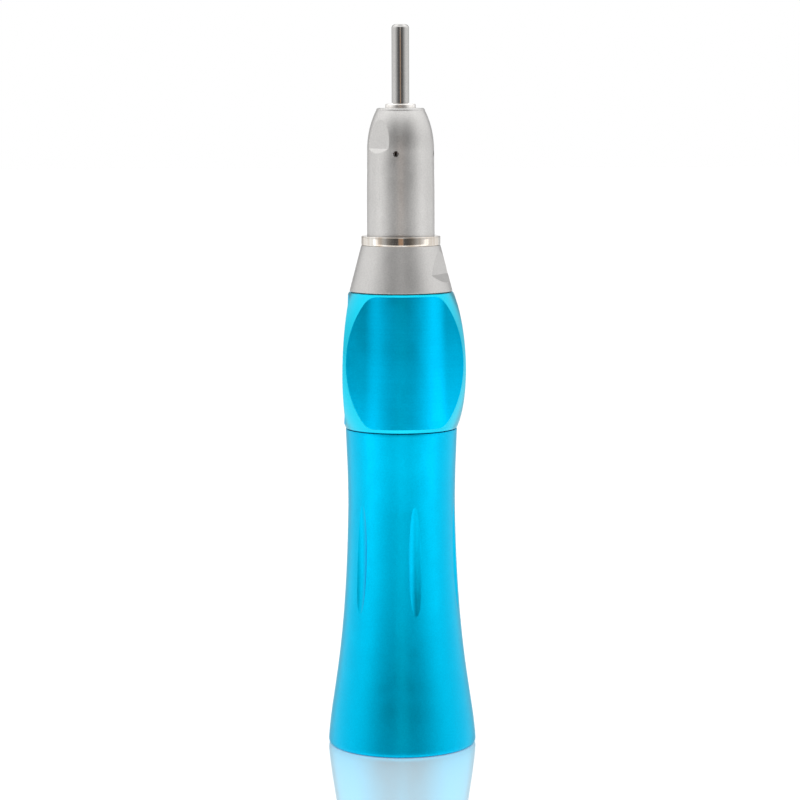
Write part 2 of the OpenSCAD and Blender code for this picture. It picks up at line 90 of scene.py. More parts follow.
# Stepped bores, from the top down: each radius, and the height where its bore begins.
SLEEVE_BORES = ((6.24, SLEEVE_TOP), (6.71, LINER_TOP), (7.6, 6.25), (MOUTH_R, LINER_LOW))

GROOVE_COUNT = 6
GROOVE_AZIMUTH = -76.0
GROOVE_LOW = 18.9
GROOVE_TOP = 33.6
GROOVE_HALF_WIDTH = 0.88
GROOVE_DEPTH = 0.36
GROOVE_SKEW = 0.86
GROOVE_FULLNESS = 0.9
GROOVE_BAND = 0.13
GROOVE_BAND_NARROW = 0.006
GROOVE_BAND_SPREAD = 7

RIDGE_COUNT = 3
FACET_AZIMUTH = -84.5
BULGE_R = 9.39
BULGE_Z = 52.3
BULGE_ARC_R = 21.5
FACET_END_BAND = 2.5
CORE_R = 7.48
CORE_SLOPE = 0.0337
WING_DISTANCE = 6.83
WING_SLOPE = 0.0277
WING_BOW = 0.136
WING_TURN = 14.2
WING_FILLET = 0.45
RING_BORE_R = 5.25
RING_RELIEF_R = 6.8
RING_RELIEF_TOP = 52.2
RING_EDGE = 0.07

COLLAR_EDGE = 0.08
COLLAR_SEAM = 0.01
COLLAR_STEP_Z = 67.51
COLLAR_SEAT_R = 5.01
NOTCH_OUTLINE = ((5.61, 64.54), (5.56, 68.4), (9, 68.4), (9, 61.05))
NOTCH_HALF_WIDTH = 5
NOTCH_AZIMUTH = -22

SPIGOT_R = 4.4
SPIGOT_SEAT_R = 4.41
LOCK_EDGE = 0.12

NOSE_STEP_Z = 74.4
NOSE_SHOULDER_R = 4.5
NOSE_SHOULDER_Z = 80.8
NOSE_HANDLES = ((4.5, 81.36), (4.6, 83.88))
NOSE_FACE_R = 3.28
NOSE_FACE_Z = 86.45
NOSE_HOLE_R = 2.3
NOSE_HOLE_EDGE = 0.06
NOSE_BORES = ((NOSE_HOLE_R, NOSE_TOP - NOSE_HOLE_EDGE), (3.0, 85.0), (3.51, 84.02))
NOSE_FLAT_OUTLINE = ((4.10, 81.4), (3.70, 86.6), (8, 86.6), (8, 75.2))
NOSE_FLAT_HALF_WIDTH = 4
NOSE_FLAT_AZIMUTH = -135.3
VENT_COUNT = 4
VENT_AZIMUTH = -97.9
VENT_R = 0.39
VENT_Z = 80.7
VENT_REACH = (2.6, 6)

BUR_TIP_EDGE = 0.55
BUR_CHAMFER = 0.2
BUR_MARK_Z = 86.85
BUR_MARK_H = 0.6
BUR_MARK_R = 1.0
BUR_MARK_EDGE = 0.02

# A length below which a radius counts as zero.
FINE = 1e-4


# ---- Mesh helpers ----


def bezier(start, handles, end, steps):
    """Points along a cubic curve, as (r, z) pairs."""
    a, b, c, d = (np.array(p, float) for p in (start, *handles, end))
    t = np.linspace(0, 1, steps + 1)[:, None]
    s = 1 - t
    return s**3 * a + 3 * s**2 * t * b + 3 * s * t**2 * c + t**3 * d


def smoothstep(low, high, x):
    t = np.clip((x - low) / (high - low), 0, 1)
    return t * t * (3 - 2 * t)


def corner(centre, radius, start, end, steps=4):
    """Points on a rounded edge; angles in degrees, 0 along +r and 90 along +z."""
    angles = np.radians(np.linspace(start, end, steps + 1))
    return [(centre[0] + radius * math.cos(q), centre[1] + radius * math.sin(q)) for q in angles]


def steps_down(bores, bottom):
    """The outline of stepped bores, from the top down, as (r, z). Each bore is (radius, top)."""
    outline = []
    for (radius, top), low in zip(bores, [bore[1] for bore in bores[1:]] + [bottom]):
        outline += [(radius, top), (radius, low)]
    return outline


def new_object(name, mesh):
    obj = bpy.data.objects.new(name, mesh)
    bpy.context.scene.collection.objects.link(obj)
    return obj


def finish_mesh(mesh, sharp_deg=32):
    """Smooth faces, with edges sharper than sharp_deg kept crisp."""
    bm = bmesh.new()
    bm.from_mesh(mesh)
    bmesh.ops.recalc_face_normals(bm, faces=bm.faces)
    for face in bm.faces:
        face.smooth = True
    for edge in bm.edges:
        if len(edge.link_faces) == 2:
            edge.smooth = edge.calc_face_angle(0) < math.radians(sharp_deg)
    bm.to_mesh(mesh)
    bm.free()


def grid_mesh(name, points, capped=False):
    """A mesh over a grid of points [row, column, xyz] in millimetres, closed round its columns.

    The last row joins the first, or, if capped, the first and last rows are closed by flat ends.
    """
    rows, columns, _ = points.shape
    index = np.arange(rows * columns).reshape(rows, columns)
    lower = index[:-1] if capped else index
    upper = index[1:] if capped else np.roll(index, -1, axis=0)
    quads = np.stack(
        [lower, np.roll(lower, -1, axis=1), np.roll(upper, -1, axis=1), upper], axis=-1
    ).reshape(-1, 4)
    faces = quads.tolist()
    if capped:
        faces += [index[0].tolist(), index[-1, ::-1].tolist()]
    mesh = bpy.data.meshes.new(name)
    mesh.from_pydata((points.reshape(-1, 3) * MM).tolist(), [], faces)
    mesh.validate()
    return mesh


def revolve(radius, z, angle):
    return np.stack([radius * np.cos(angle), radius * np.sin(angle), z + 0 * angle], axis=-1)


def lathe(name, outline, columns=192):
    """A closed solid of revolution. The outline is a loop of (r, z) that stays off the axis."""
    outline = np.array(outline, float)
    angle = np.linspace(0, 2 * math.pi, columns, endpoint=False)[None, :]
    points = revolve(outline[:, :1], outline[:, 1:2], angle + 0 * outline[:, :1])
    return new_object(name, grid_mesh(name, points))


def solid_lathe(name, outline, columns=96):
    """A solid of revolution whose outline runs from the axis at the bottom to the axis at the top."""
    outline = np.array(outline, float)
    bm = bmesh.new()
    rings = []
    for r, z in outline:
        if r < FINE:
            rings.append([bm.verts.new((0, 0, z * MM))])
            continue
        ring = []
        for k in range(columns):
            q = 2 * math.pi * k / columns
            ring.append(bm.verts.new((r * MM * math.cos(q), r * MM * math.sin(q), z * MM)))
        rings.append(ring)
    for low, high in zip(rings, rings[1:]):
        for k in range(columns):
            n = (k + 1) % columns
            if len(low) == 1:
                bm.faces.new((low[0], high[n], high[k]))
            elif len(high) == 1:
                bm.faces.new((low[k], low[n], high[0]))
            else:
                bm.faces.new((low[k], low[n], high[n], high[k]))
    mesh = bpy.data.meshes.new(name)
    bm.to_mesh(mesh)
    bm.free()
    return new_object(name, mesh)


def directions(azimuth):
    """Unit vectors outward and sideways at an azimuth in degrees."""
    turn = math.radians(azimuth)
    return Vector((math.cos(turn), math.sin(turn), 0)), Vector((-math.sin(turn), math.cos(turn), 0))


def loft(name, start, end):
    """A closed solid between two loops of as many points, in millimetres."""
    bm = bmesh.new()
    first, last = ([bm.verts.new(point * MM) for point in loop] for loop in (start, end))
    bm.faces.new(first)
    bm.faces.new(list(reversed(last)))
    for k in range(len(first)):
        n = (k + 1) % len(first)
        bm.faces.new((first[k], last[k], last[n], first[n]))
    bmesh.ops.recalc_face_normals(bm, faces=bm.faces)
    mesh = bpy.data.meshes.new(name)
    bm.to_mesh(mesh)
    bm.free()
    return new_object(name, mesh)


def prism(name, outline, half_width, azimuth):
    """A cutter: an outline of (outward, z) points, extruded sideways and turned to its azimuth."""
    out, side = directions(azimuth)
    loops = [
        [out * x + side * s + Vector((0, 0, z)) for x, z in outline]
        for s in (-half_width, half_width)
    ]
    return loft(name, *loops)


def drill(name, radius, reach, z, azimuth, sides=48):
    """A cutter: a round bar that points outward from the axis."""
    out, side = directions(azimuth)
    circle = []
    for q in np.linspace(0, 2 * math.pi, sides, endpoint=False):
        circle.append(side * radius * math.cos(q) + Vector((0, 0, z + radius * math.sin(q))))
    return loft(name, *([out * r + point for point in circle] for r in reach))


def cut(obj, *cutters):
    """Takes the cutters out of obj, and removes them."""
    bpy.context.view_layer.objects.active = obj
    for cutter in cutters:
        modifier = obj.modifiers.new("cut", "BOOLEAN")
        modifier.operation = "DIFFERENCE"
        modifier.solver = "EXACT"
        modifier.object = cutter
        bpy.ops.object.modifier_apply(modifier=modifier.name)
    for cutter in cutters:
        bpy.data.objects.remove(cutter)
    obj.data.materials.clear()


def exact_normals(obj, surface, tolerance=0.01, alignment=0.985):
    """Gives corners on the round surface r = surface(z) its true normals, and leaves cut faces flat."""
    mesh = obj.data
    for polygon in mesh.polygons:
        polygon.use_smooth = True
    co = np.array([v.co for v in mesh.vertices]) / MM
    radius = np.hypot(co[:, 0], co[:, 1])
    away = np.abs(radius - surface(co[:, 2]))
    step = 0.02
    slope = (surface(co[:, 2] + step) - surface(co[:, 2] - step)) / (2 * step)
    safe = np.maximum(radius, FINE)
    true = np.stack([co[:, 0] / safe, co[:, 1] / safe, -slope], axis=-1)
    true /= np.linalg.norm(true, axis=1, keepdims=True)
    normals = []
    for polygon in mesh.polygons:
        flat = np.array(polygon.normal)
        for v in polygon.vertices:
            on_surface = away[v] < tolerance and float(flat @ true[v]) > alignment
            normals.append(tuple(true[v]) if on_surface else tuple(flat))
    mesh.normals_split_custom_set(normals)


# ---- Pieces ----


def sleeve_curve():
    """The sleeve's rounded rim, and its outer curve from the rim to the top edge, as (r, z)."""
    rim = []
    for q in np.radians(np.linspace(0, 90, 7)):
        inward, up = RIM_EDGE_R * (1 - math.sin(q)), RIM_EDGE_H * (1 - math.cos(q))
        rim.append((RIM_R - inward, up))
    waist, top = (WAIST_R, WAIST_Z), (SLEEVE_TOP_R, SLEEVE_TOP - SLEEVE_EDGE)
    lower = bezier((RIM_R, RIM_EDGE_H), FLARE_HANDLES, waist, 400)
    upper = bezier(waist, SHOULDER_HANDLES, top, 120)
    return rim, np.vstack([lower, upper[1:]])


def groove_half_angle(z, r):
    """Half-angle of a finger groove at height z, widest a little below its middle."""
    u = np.clip((z - GROOVE_LOW) / (GROOVE_TOP - GROOVE_LOW), 0, 1) ** GROOVE_SKEW
    return GROOVE_HALF_WIDTH * np.sqrt(np.clip(4 * u * (1 - u), 0, 1)) / r


def grip_sleeve():
    """The sleeve. In each sixth, a band of columns narrows to the groove's own width."""
    rim, curve = sleeve_curve()
    sweep = (1 - np.cos(np.linspace(0, math.pi, 90, endpoint=False))) / 2
    heights = np.concatenate([
        np.linspace(RIM_EDGE_H, GROOVE_LOW, 60, endpoint=False),
        GROOVE_LOW + (GROOVE_TOP - GROOVE_LOW) * sweep,
        np.linspace(GROOVE_TOP, SLEEVE_TOP - SLEEVE_EDGE, 30),
    ])
    radii = np.interp(heights, curve[:, 1], curve[:, 0])
    outer = list(zip(radii, heights))
    top = corner((SLEEVE_TOP_R - SLEEVE_EDGE, SLEEVE_TOP - SLEEVE_EDGE), SLEEVE_EDGE, 15, 90, 4)
    inner = steps_down(SLEEVE_BORES, MOUTH_LEAD_IN)
    inner += corner((MOUTH_R + MOUTH_LEAD_IN, 0.0), MOUTH_LEAD_IN, 170, 100, 4)
    outline = np.array(rim[:-1] + outer + top + inner)
    first = len(rim) - 1
    last = first + len(outer)

    # Column places across a groove's band, and from the band's edge to the middle between grooves.
    inside = np.array([-1, -0.96, -0.86, -0.7, -0.5, -0.25, 0, 0.25, 0.5, 0.7, 0.86, 0.96, 1])
    outside = np.array([0.0, 0.012, 0.05, 0.12, 0.22, 0.34, 0.47, 0.6, 0.73, 0.86, 1.0])
    sector = math.pi / GROOVE_COUNT
    rows = []
    for i, (r, z) in enumerate(outline):
        half = GROOVE_BAND
        depth = 0 * inside
        if first <= i < last:
            true_half = float(groove_half_angle(z, r))
            reach = max(GROOVE_LOW - z, z - GROOVE_TOP, 0)
            spread = float(smoothstep(0, GROOVE_BAND_SPREAD, reach))
            half = GROOVE_BAND_NARROW + (GROOVE_BAND - GROOVE_BAND_NARROW) * spread
            if reach == 0:
                half = max(true_half, GROOVE_BAND_NARROW)
            if reach == 0 and true_half > 0:
                u = float(np.clip(true_half * r / GROOVE_HALF_WIDTH, 0, 1))
                depth = GROOVE_DEPTH * u * u * (1 - inside**2) ** GROOVE_FULLNESS
        angles, lift = [], []
        for k in range(GROOVE_COUNT):
            centre = math.radians(GROOVE_AZIMUTH) + 2 * sector * k
            for s, d in zip(inside, depth):
                angles.append(centre + s * half)
                lift.append(d)
            for t in outside[1:]:
                angles.append(centre + half + t * (sector - half))
                lift.append(0)
            for t in outside[-2:0:-1]:
                angles.append(centre + 2 * sector - half - t * (sector - half))
                lift.append(0)
        angles, lift = np.array(angles), np.array(lift)
        rows.append(revolve(r - lift, z, angles))
    mesh = grid_mesh("grip_shell", np.array(rows))
    finish_mesh(mesh, 30)
    return new_object("grip_shell", mesh)


def bulge(z):
    """Radius of the ring's barrel surface."""
    return BULGE_R - BULGE_ARC_R + np.sqrt(BULGE_ARC_R**2 - (z - BULGE_Z) ** 2)


def core(z):
    """Radius of a facet's core, a shallow cone."""
    return CORE_R + CORE_SLOPE * (RING_MID - z)


def wing(theta, z):
    """Distance to a facet's side wing at angle theta from the facet's middle."""
    bow = WING_BOW * ((z - RING_MID) / RING_HALF_H) ** 2
    reach = WING_DISTANCE + WING_SLOPE * (RING_MID - z) - bow
    return reach / np.cos(np.maximum(np.abs(theta) - math.radians(WING_TURN), 0))


def facet(theta, z):
    """Radius of the facet: a shallow core with a wing on each side, joined by a small fillet."""
    base = core(z)
    gap = wing(theta, z) - base
    fillet = np.clip(gap + WING_FILLET, 0, None) ** 2 / (4 * WING_FILLET)
    return base + np.where(gap > WING_FILLET, gap, fillet)


def crossing(function, low, high):
    """Where function changes sign between low and high."""
    sign = function(low) > 0
    for _ in range(60):
        middle = (low + high) / 2
        if (function(middle) > 0) == sign:
            low = middle
        else:
            high = middle
    return (low + high) / 2


def twist_ring():
    """Barrel surface with three facets. Columns follow each facet's edge, so that the edge is crisp."""

    def above_core(z):
        return bulge(z) - core(z)

    facet_top = crossing(above_core, RING_TOP - FACET_END_BAND, RING_TOP)
    facet_low = crossing(above_core, RING_LOW, RING_LOW + FACET_END_BAND)
    sixth = math.pi / RIDGE_COUNT
    sweep = (1 - np.cos(np.linspace(0, math.pi, 111))) / 2
    heights = facet_low + (facet_top - facet_low) * sweep
    band_low = np.linspace(RING_LOW + RING_EDGE, facet_low, 4, endpoint=False)
    band_top = np.linspace(facet_top, RING_TOP - RING_EDGE, 5)[1:]
    s = np.linspace(-1, 1, 97)
    across = np.sign(s) * np.abs(s) ** 0.85
    between = np.linspace(0, 1, 13)[1:-1]
    rows = []
    for z in np.concatenate([band_low, heights, band_top]):
        limit = float(bulge(z))
        held = min(max(z, facet_low), facet_top)

        def over(q, held=held):
            return facet(q, held) - float(bulge(held))

        half = crossing(over, 0.3, sixth - 1e-6) if over(sixth) > 0 else sixth - 1e-3
        cut_row = facet_low < z < facet_top
        angles, radii = [], []
        for k in range(RIDGE_COUNT):
            centre = math.radians(FACET_AZIMUTH) + 2 * sixth * k
            for q in across * half:
                angles.append(centre + q)
                radii.append(min(limit, float(facet(q, z))) if cut_row else limit)
            for t in between:
                angles.append(centre + half + t * 2 * (sixth - half))
                radii.append(limit)
        rows.append(revolve(np.array(radii), z, np.array(angles)))
    outer = np.array(rows)

    def plain(r, z):
        """A round row, with the columns of the lowest outer row."""
        angles = np.arctan2(outer[0, :, 1], outer[0, :, 0])
        return revolve(np.full(len(angles), r), z, angles)

    low_r, top_r = float(bulge(RING_LOW)), float(bulge(RING_TOP))
    top = corner((top_r - RING_EDGE, RING_TOP - RING_EDGE), RING_EDGE, 30, 90, 3)
    # The bore is relieved below, where the drive pins and the stop pin reach into the ring.
    bore = steps_down(((RING_BORE_R, RING_TOP), (RING_RELIEF_R, RING_RELIEF_TOP)), RING_LOW)
    bottom = corner((low_r - RING_EDGE, RING_LOW + RING_EDGE), RING_EDGE, -90, -30, 3)
    points = np.concatenate([outer, [plain(r, z) for r, z in top + bore + bottom]])
    mesh = grid_mesh("twist_ring_shell", points)
    finish_mesh(mesh, 9)
    obj = new_object("twist_ring_shell", mesh)
    # Facet faces take the turned finish, the rest the smooth one.
    per_row = points.shape[1]
    columns = per_row // RIDGE_COUNT
    first = len(band_low)
    for polygon in mesh.polygons:
        row, column = divmod(polygon.index, per_row)
        inside = first <= row < first + len(heights) - 1 and column % columns < len(s) - 1
        polygon.material_index = 1 if inside else 0
    return obj


def nose_curve():
    """The nose's outer curve from the lock ring to its face, as (r, z)."""
    curve = [(NOSE_R, z) for z in np.linspace(LOCK_TOP, NOSE_STEP_Z, 12)]
    for z in np.linspace(NOSE_STEP_Z, NOSE_SHOULDER_Z, 16)[1:-1]:
        widening = float(smoothstep(NOSE_STEP_Z, NOSE_SHOULDER_Z, z))
        curve.append((NOSE_R + (NOSE_SHOULDER_R - NOSE_R) * widening, z))
    shoulder, face = (NOSE_SHOULDER_R, NOSE_SHOULDER_Z), (NOSE_FACE_R, NOSE_FACE_Z)
    curve += [tuple(point) for point in bezier(shoulder, NOSE_HANDLES, face, 60)]
    edge = NOSE_TOP - NOSE_FACE_Z
    curve += corner((NOSE_FACE_R - edge, NOSE_FACE_Z), edge, 12, 90, 8)
    return np.array(curve)


def nose_sheath():
    curve = nose_curve()
    inner = [(NOSE_HOLE_R + NOSE_HOLE_EDGE, NOSE_TOP)]
    inner += steps_down(NOSE_BORES, SPIGOT_LOW)
    inner += [(SPIGOT_R, SPIGOT_LOW), (SPIGOT_R, LOCK_TOP)]
    obj = lathe("nose_shell", [tuple(point) for point in curve] + inner, 256)
    finish_mesh(obj.data)
    flat = prism("flat", NOSE_FLAT_OUTLINE, NOSE_FLAT_HALF_WIDTH, NOSE_FLAT_AZIMUTH)
    vents = []
    for k in range(VENT_COUNT):
        azimuth = VENT_AZIMUTH + 360 / VENT_COUNT * k
        vents.append(drill(f"vent{k}", VENT_R, VENT_REACH, VENT_Z, azimuth))
    cut(obj, flat, *vents)
    order = curve[:, 1].argsort(kind="stable")
    exact_normals(obj, lambda z: np.interp(z, curve[order, 1], curve[order, 0]))
    return obj


def taper_collar():
    low, top, edge = COLLAR_LOW, LOCK_LOW - COLLAR_SEAM, COLLAR_EDGE

    def surface(z):
        return COLLAR_R + (LOCK_R - COLLAR_R) * (z - low) / (top - low)

    outer = corner((COLLAR_R - edge, low + edge), edge, -90, 10, 4)
    outer += [(float(surface(z)), z) for z in np.linspace(low + edge + 0.02, top - edge, 24)]
    outer += corner((LOCK_R - edge, top - edge), edge, 15, 90, 4)
    inner = steps_down(((SPIGOT_SEAT_R, top), (COLLAR_SEAT_R, COLLAR_STEP_Z)), low)
    obj = lathe("collar_shell", outer + inner, 256)
    finish_mesh(obj.data)
    cut(obj, prism("notch", NOTCH_OUTLINE, NOTCH_HALF_WIDTH, NOTCH_AZIMUTH))
    exact_normals(obj, surface)
    return obj


def lock_ring():
    edge = LOCK_EDGE
    outer = corner((LOCK_R - edge, LOCK_LOW + edge), edge, -90, 0, 5)
    outer += [(LOCK_R, z) for z in np.linspace(LOCK_LOW + edge, LOCK_TOP - edge, 6)[1:-1]]
    outer += corner((LOCK_R - edge, LOCK_TOP - edge), edge, 0, 90, 5)
    inner = steps_down(((SPIGOT_SEAT_R, LOCK_TOP),), LOCK_LOW)
    obj = lathe("lock_ring_band", outer + inner, 256)
    finish_mesh(obj.data)
    return obj


def dummy_bur():
    """The plain pin, with a chamfer below, a shallow depth mark and a rounded tip."""
    tip, mark_top = BUR_TIP_EDGE, BUR_MARK_Z + BUR_MARK_H
    outline = [(0, BUR_LOW), (BUR_R - BUR_CHAMFER, BUR_LOW), (BUR_R, BUR_LOW + BUR_CHAMFER)]
    outline += [(BUR_R, z) for z in np.linspace(BUR_LOW + 1, BUR_MARK_Z, 8)]
    outline += [(BUR_MARK_R, BUR_MARK_Z + BUR_MARK_EDGE), (BUR_MARK_R, mark_top - BUR_MARK_EDGE)]
    outline += [(BUR_R, mark_top)]
    outline += [(BUR_R, z) for z in np.linspace(mark_top, BUR_TOP - tip, 8)[1:-1]]
    outline += corner((BUR_R - tip, BUR_TOP - tip), tip, 0, 90, 10)
    outline += [(0, BUR_TOP)]
    obj = solid_lathe("bur_shank", outline, 128)
    finish_mesh(obj.data)
    return obj


def spring(node, turns, wire_r):
    """A compression spring of round wire, with closed end turns, in the space of its CAD node."""
    low, top, outer = span(node)
    steps, sides = 48, 16
    turn = np.linspace(0, turns, turns * steps + 1)
    open_part = smoothstep(0.7, 1.2, turn) * smoothstep(0.7, 1.2, turns - turn)
    climb = np.cumsum(open_part) / open_part.sum()
    closed_rise = 2.03 * wire_r
    open_rise = top - low - 2 * wire_r - closed_rise * turns
    z = low + wire_r + closed_rise * turn + open_rise * climb
    q = np.linspace(0, 2 * math.pi, sides, endpoint=False)
    radius = outer - wire_r + wire_r * np.cos(q)[None, :]
    points = revolve(radius, z[:, None] + wire_r * np.sin(q), 2 * math.pi * turn[:, None])
    mesh = grid_mesh(node + "_wire", points, capped=True)
    finish_mesh(mesh, 50)
    return new_object(node + "_wire", mesh)


def squash_spring(piece):
    """Gives the spring piece its own copy of its mesh."""
    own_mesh(piece)


# ---- Materials ----

# The share of the fine grain in a metal's colour. Patches or rings make the rest.
GRAIN_SHARE = 0.7
FINE_GRAIN = 5200

# Noise seldom leaves this range.
NOISE_LOW = 0.3
NOISE_HIGH = 0.7


class Nodes:
    """A small helper that adds nodes to a node tree."""

    def __init__(self, tree):
        self.tree = tree

    def add(self, kind, **values):
        node = self.tree.nodes.new(kind)
        for key, value in values.items():
            if key in node.inputs:
                node.inputs[key].default_value = value
            else:
                setattr(node, key, value)
        return node

    def link(self, a, b):
        self.tree.links.new(a, b)

    def put(self, socket, value):
        """Gives a socket a number, or links it to another socket."""
        if isinstance(value, (int, float)):
            socket.default_value = value
        else:
            self.link(value, socket)

    def math(self, operation, a, b=0):
        node = self.add("ShaderNodeMath", operation=operation)
        self.put(node.inputs[0], a)
        self.put(node.inputs[1], b)
        return node.outputs[0]

    def blend(self, value, edges, at_start, at_end):
        """Goes smoothly from at_start to at_end as value goes from one edge to the other."""
        node = self.add("ShaderNodeMapRange", interpolation_type="SMOOTHSTEP")
        self.link(value, node.inputs["Value"])
        self.put(node.inputs["From Min"], edges[0])
        self.put(node.inputs["From Max"], edges[1])
        self.put(node.inputs["To Min"], at_start)
        self.put(node.inputs["To Max"], at_end)
        return node.outputs["Result"]


def new_material(name):
    material = bpy.data.materials.new(name)
    material.use_nodes = True
    n = Nodes(material.node_tree)
    n.material = material
    n.shader = n.tree.nodes["Principled BSDF"]
    return n


def position(n):
    """Object coordinates, which lie in the row frame, in metres."""
    return n.add("ShaderNodeTexCoord").outputs["Object"]


def noise(n, scale, detail=2, stretch=(1, 1, 1)):
    mapping = n.add("ShaderNodeMapping")
    mapping.inputs["Scale"].default_value = stretch
    n.link(position(n), mapping.inputs["Vector"])
    texture = n.add("ShaderNodeTexNoise")
    texture.inputs["Scale"].default_value = scale
    texture.inputs["Detail"].default_value = detail
    n.link(mapping.outputs["Vector"], texture.inputs["Vector"])
    return texture.outputs["Fac"]


def ramp(n, factor, low, high):
    """Maps a noise's usual range onto low to high."""
    node = n.add("ShaderNodeMapRange")
    n.link(factor, node.inputs["Value"])
    node.inputs["From Min"].default_value = NOISE_LOW
    node.inputs["From Max"].default_value = NOISE_HIGH
    node.inputs["To Min"].default_value = low
    node.inputs["To Max"].default_value = high
    return node.outputs["Result"]


def roughen(n, rough, scale, spread=0.03, detail=2):
    """A roughness that varies from place to place."""
    varied = ramp(n, noise(n, scale, detail), rough - spread, rough + spread)
    n.link(varied, n.shader.inputs["Roughness"])


def tint(n, factor, dark, light):
    """A colour between dark and light, by factor, on the shader."""
    node = n.add("ShaderNodeMix")
    node.data_type = "RGBA"
    node.inputs["A"].default_value = (*dark, 1)
    node.inputs["B"].default_value = (*light, 1)
    n.link(factor, node.inputs["Factor"])
    n.link(node.outputs["Result"], n.shader.inputs["Base Color"])


def bump(n, height, distance_mm):
    node = n.add("ShaderNodeBump", Strength=1.0, Distance=distance_mm * MM)
    n.link(height, node.inputs["Height"])
    n.link(node.outputs["Normal"], n.shader.inputs["Normal"])


def mottle(n, grain, wide, dark, light):
    """Colours the shader by a mix of the fine grain and a wider pattern."""
    share = n.math("MULTIPLY", grain, GRAIN_SHARE)
    mixed = n.math("ADD", share, n.math("MULTIPLY", wide, 1 - GRAIN_SHARE))
    tint(n, ramp(n, mixed, 0, 1), dark, light)


def metal(name, dark, light, rough, grain_scale, grain_mm, edge_tint=(1, 1, 1)):
    """A metal with patches and a fine grain."""
    n = new_material(name)
    n.shader.inputs["Metallic"].default_value = 1.0
    n.shader.inputs["Specular Tint"].default_value = (*edge_tint, 1)
    grain = noise(n, grain_scale)
    mottle(n, grain, noise(n, 250, 3), dark, light)
    roughen(n, rough, 425)
    bump(n, grain, grain_mm)
    return n.material


def turned_metal(name, dark, light, rough, ring_scale, ring_mm, edge_tint=(1, 1, 1), anisotropic=0.0):
    """A metal turned on a lathe: fine rings round the axis."""
    n = new_material(name)
    n.shader.inputs["Metallic"].default_value = 1.0
    n.shader.inputs["Specular Tint"].default_value = (*edge_tint, 1)
    n.shader.inputs["Anisotropic"].default_value = anisotropic
    rings = noise(n, ring_scale, 3, (0.02, 0.02, 1))
    mottle(n, noise(n, FINE_GRAIN), rings, dark, light)
    roughen(n, rough, 300)
    bump(n, rings, ring_mm)
    tangent = n.add("ShaderNodeTangent", direction_type="RADIAL", axis="Z")
    n.link(tangent.outputs["Tangent"], n.shader.inputs["Tangent"])
    return n.material


def nickel_with_painted_reflection(name, dark, light, rough):
    """Polished nickel with upright streaks that are bumped, and whose colour goes between a dark and a
    light tint: painted reflections.
    """
    n = new_material(name)
    n.shader.inputs["Metallic"].default_value = 1.0
    n.shader.inputs["Roughness"].default_value = rough
    relief_and_painted_reflection = noise(n, 900, 2, (1, 1, 0.02))
    # Painted reflection: the upright streaks turn the colour light and dark, like a polished cylinder's
    # reflections.
    tint(n, ramp(n, relief_and_painted_reflection, 0, 1), dark, light)
    bump(n, relief_and_painted_reflection, 0.008)
    return n.material


def plastic(name, dark, light, rough):
    n = new_material(name)
    tint(n, ramp(n, noise(n, 600, 3), 0, 1), dark, light)
    roughen(n, rough, 900, 0.05)
    bump(n, noise(n, 5000), 0.004)
    return n.material


def grey(value):
    return (value, value, value)


# The anodised pieces' reflections are tinted towards their edges.
SLEEVE_EDGE_TINT = (0.78, 1.0, 0.98)
FACET_EDGE_TINT = (0.3, 0.80, 0.86)
FACET_ANISOTROPY = 0.6

# What each finish is made with: the function, its dark and light colours, then its other values.
FINISHES = {
    "anodised_sleeve": (
        metal, (0.0, 0.45, 0.73), (0.0, 0.53, 0.82), 0.33, FINE_GRAIN, 0.004, SLEEVE_EDGE_TINT
    ),
    "anodised_ridge": (metal, (0.006, 0.54, 0.73), (0.014, 0.58, 0.78), 0.22, FINE_GRAIN, 0.001),
    "anodised_facet": (
        turned_metal, (0.0, 0.53, 0.91), (0.0, 0.62, 1.0), 0.34, 4000, 0.001,
        FACET_EDGE_TINT, FACET_ANISOTROPY
    ),
    "blasted_steel": (metal, (0.51, 0.50, 0.49), (0.62, 0.61, 0.595), 0.37, FINE_GRAIN, 0.012),
    # polished_nickel: its upright light and dark streaks are painted reflection.
    "polished_nickel": (nickel_with_painted_reflection, (0.54, 0.46, 0.38), (0.77, 0.75, 0.71), 0.09),
    "polished_steel": (metal, (0.86, 0.82, 0.78), (0.95, 0.93, 0.90), 0.32, 5000, 0.001),
    "shank_steel": (turned_metal, (0.52, 0.51, 0.50), (0.60, 0.59, 0.57), 0.12, 9000, 0.0006),
    "turned_steel": (turned_metal, (0.55, 0.55, 0.56), (0.66, 0.66, 0.67), 0.28, 6000, 0.002),
    "hardened_steel": (turned_metal, (0.40, 0.40, 0.42), (0.52, 0.52, 0.54), 0.3, 6000, 0.002),
    "spring_steel": (metal, (0.34, 0.34, 0.36), (0.46, 0.46, 0.48), 0.35, 6000, 0.002),
    "bearing_steel": (metal, (0.66, 0.66, 0.68), (0.74, 0.74, 0.76), 0.14, 6000, 0.0005),
    "cage_polymer": (plastic, (0.30, 0.17, 0.07), (0.42, 0.26, 0.12), 0.5),
    "seal_rubber": (plastic, grey(0.012), grey(0.03), 0.7),
}
made = {}


def finish_of(name):
    """The material of a finish, made when it is first asked for."""
    if name not in made:
        build, *values = FINISHES[name]
        made[name] = build(name, *values)
    return made[name]


# ---- Assembly ----

